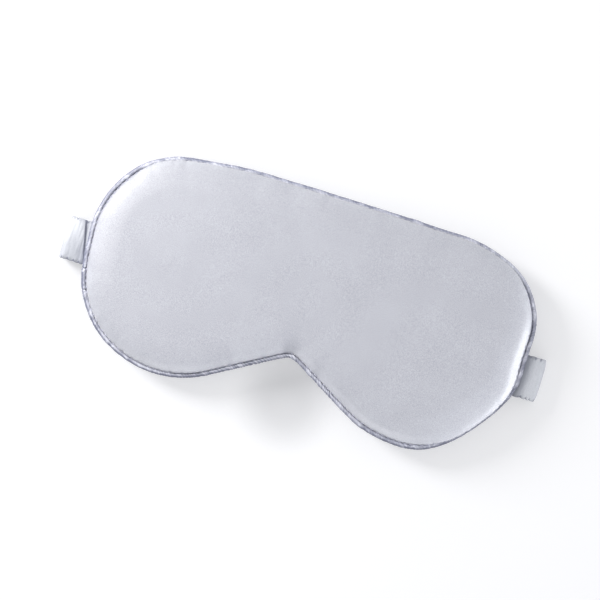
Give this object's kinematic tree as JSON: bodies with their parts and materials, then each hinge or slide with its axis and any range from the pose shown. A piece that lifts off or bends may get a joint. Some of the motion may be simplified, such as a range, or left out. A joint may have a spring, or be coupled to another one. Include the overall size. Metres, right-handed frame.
{
  "type": "padded sleep eye mask",
  "caption": "Padded satin sleep eye mask with a piped edge, a nose notch and a ruched elastic strap tucked behind it; it folds at the nose bridge and the strap opens into a loop.",
  "frame": {"origin": "under the middle of the mask, midway between its top and bottom edges, on the plane that the folded strap lies on", "axes": "+X to the mask's right as seen from the front, +Y up the mask towards the forehead, +Z out of its front face"},
  "size_m": [0.229, 0.102, 0.014],
  "materials": {
    "satin": "smooth silk satin, pale lavender grey",
    "piping_satin": "silk satin bias strip, drawn tight over a cord",
    "strap_satin": "ruched silk satin",
    "wadding": "soft white wadding",
    "blackout": "matt dark lining",
    "cord": "twisted cotton",
    "elastic": "flat woven elastic",
    "thread": "fine polyester thread"
  },
  "bodies": {
    "right_half": {"front_panel_right": "satin", "front_wadding_right": "wadding", "blackout_lining_right": "blackout", "back_wadding_right": "wadding", "back_panel_right": "satin", "piping_cover_right": "piping_satin", "piping_cord_right": "cord", "edge_stitches_right": "thread", "strap_end_casing_right": "strap_satin", "strap_end_elastic_right": "elastic", "strap_tack_stitches_right": "thread", "strap_turn_casing_right": "strap_satin", "strap_turn_elastic_right": "elastic"},
    "left_half": {"front_panel_left": "satin", "front_wadding_left": "wadding", "blackout_lining_left": "blackout", "back_wadding_left": "wadding", "back_panel_left": "satin", "piping_cover_left": "piping_satin", "piping_cord_left": "cord", "edge_stitches_left": "thread", "strap_end_casing_left": "strap_satin", "strap_end_elastic_left": "elastic", "strap_tack_stitches_left": "thread", "strap_turn_casing_left": "strap_satin", "strap_turn_elastic_left": "elastic"},
    "right_strap_outer": {"strap_outer_casing_right": "strap_satin", "strap_outer_elastic_right": "elastic"},
    "right_strap_middle": {"strap_middle_casing_right": "strap_satin", "strap_middle_elastic_right": "elastic"},
    "right_strap_inner": {"strap_inner_casing_right": "strap_satin", "strap_inner_elastic_right": "elastic"},
    "left_strap_outer": {"strap_outer_casing_left": "strap_satin", "strap_outer_elastic_left": "elastic"},
    "left_strap_middle": {"strap_middle_casing_left": "strap_satin", "strap_middle_elastic_left": "elastic"},
    "left_strap_inner": {"strap_inner_casing_left": "strap_satin", "strap_inner_elastic_left": "elastic"}
  },
  "joints": [
    {"name": "bridge_fold", "type": "hinge", "parent": "right_half", "child": "left_half", "pos_m": [0, 0, 0.003], "axis": [0, -1, 0], "range_deg": [0, 90]},
    {"name": "right_strap_swing", "type": "hinge", "parent": "right_half", "child": "right_strap_outer", "pos_m": [0.1135, -0.003, 0.00295], "axis": [0, -1, 0], "range_deg": [0, 111.09], "deforming": ["strap_turn_casing_right", "strap_turn_elastic_right"]},
    {"name": "right_strap_outer_bend", "type": "hinge", "parent": "right_strap_outer", "child": "right_strap_middle", "pos_m": [0.07075, -0.003, 0.0013], "axis": [0, 1, 0], "range_deg": [0, 33.09]},
    {"name": "right_strap_inner_bend", "type": "hinge", "parent": "right_strap_middle", "child": "right_strap_inner", "pos_m": [0.03095, -0.003, 0.0013], "axis": [0, 1, 0], "range_deg": [0, 33.09]},
    {"name": "left_strap_swing", "type": "hinge", "parent": "left_half", "child": "left_strap_outer", "pos_m": [-0.1155, -0.003, 0.00295], "axis": [0, 1, 0], "range_deg": [0, 111.14], "deforming": ["strap_turn_casing_left", "strap_turn_elastic_left"]},
    {"name": "left_strap_outer_bend", "type": "hinge", "parent": "left_strap_outer", "child": "left_strap_middle", "pos_m": [-0.07203, -0.003, 0.0013], "axis": [0, -1, 0], "range_deg": [0, 33.12]},
    {"name": "left_strap_inner_bend", "type": "hinge", "parent": "left_strap_middle", "child": "left_strap_inner", "pos_m": [-0.03151, -0.003, 0.0013], "axis": [0, -1, 0], "range_deg": [0, 33.12]}
  ],
  "couplings": [
    {"joint": "right_strap_swing", "follows": "bridge_fold", "ratio": 1.2332},
    {"joint": "right_strap_outer_bend", "follows": "bridge_fold", "ratio": 0.3666},
    {"joint": "right_strap_inner_bend", "follows": "bridge_fold", "ratio": 0.3666},
    {"joint": "left_strap_swing", "follows": "bridge_fold", "ratio": 1.2337},
    {"joint": "left_strap_outer_bend", "follows": "bridge_fold", "ratio": 0.36687},
    {"joint": "left_strap_inner_bend", "follows": "bridge_fold", "ratio": 0.36687}
  ]
}
